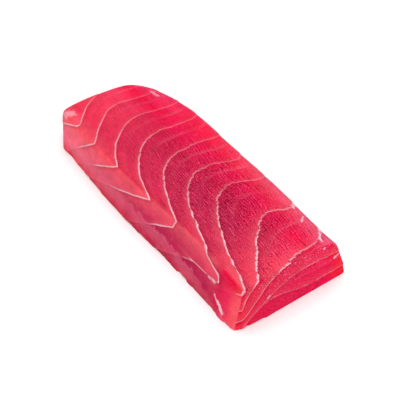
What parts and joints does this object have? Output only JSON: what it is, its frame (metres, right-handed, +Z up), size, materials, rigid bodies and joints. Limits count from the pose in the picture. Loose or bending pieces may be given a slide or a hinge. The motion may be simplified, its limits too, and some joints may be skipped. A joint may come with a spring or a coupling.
{
  "type": "raw tuna steak",
  "caption": "Thick raw tuna steak, a long block cut from the loin, with curved pale seams between its flakes.",
  "frame": {"origin": "under the middle of the steak's box, on the surface that it lies on", "axes": "+X along the steak towards the clean cut near end, +Y across it towards the soft shoulder, +Z up"},
  "size_m": [0.1788, 0.0758, 0.0299],
  "materials": {
    "tuna_flesh": "moist raw flesh, satin"
  },
  "bodies": {
    "root": {"tuna_steak": "tuna_flesh"}
  },
  "joints": []
}
